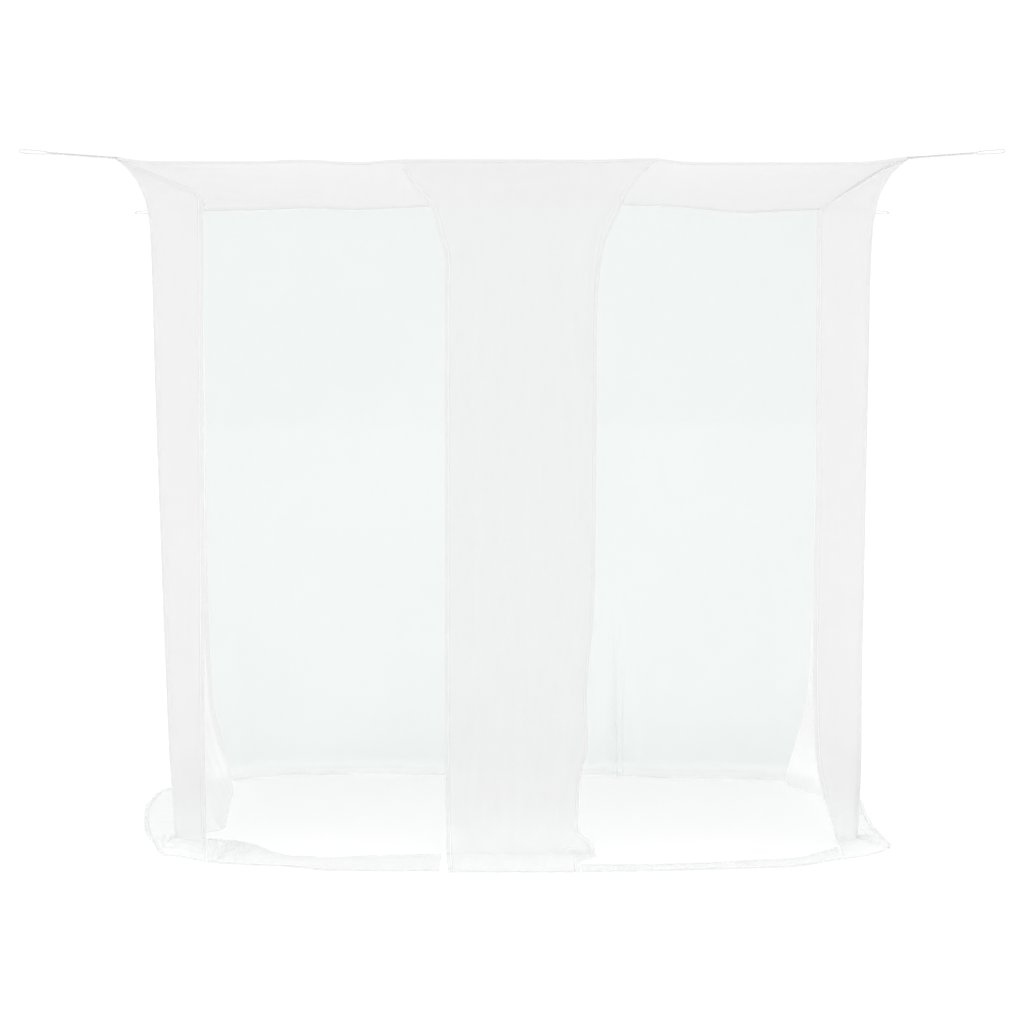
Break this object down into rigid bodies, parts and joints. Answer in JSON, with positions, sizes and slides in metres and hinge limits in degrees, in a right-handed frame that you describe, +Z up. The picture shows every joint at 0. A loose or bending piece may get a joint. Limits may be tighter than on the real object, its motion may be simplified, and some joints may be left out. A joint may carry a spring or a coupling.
{
  "type": "mosquito net canopy",
  "caption": "Box-shaped white sheer bed net hung by corner loops, with open front bays, a loose centre panel and its hem spread on the floor.",
  "frame": {"origin": "on the floor, in the middle of the box round the net and its loops", "axes": "+X to the right across the front, the longest extent; +Y from the open front to the back wall; +Z up"},
  "size_m": [2.6678, 2.3046, 1.9715],
  "materials": {
    "net": "sheer white knitted net",
    "tape": "woven white tape"
  },
  "bodies": {
    "root": {"roof_panel": "net", "left_wall": "net", "right_wall": "net", "back_wall": "net", "centre_panel": "net", "left_threshold": "net", "right_threshold": "net", "front_binding": "tape", "back_binding": "tape", "left_binding": "tape", "right_binding": "tape", "front_left_loop": "tape", "front_right_loop": "tape", "rear_left_loop": "tape", "rear_right_loop": "tape"}
  },
  "joints": []
}
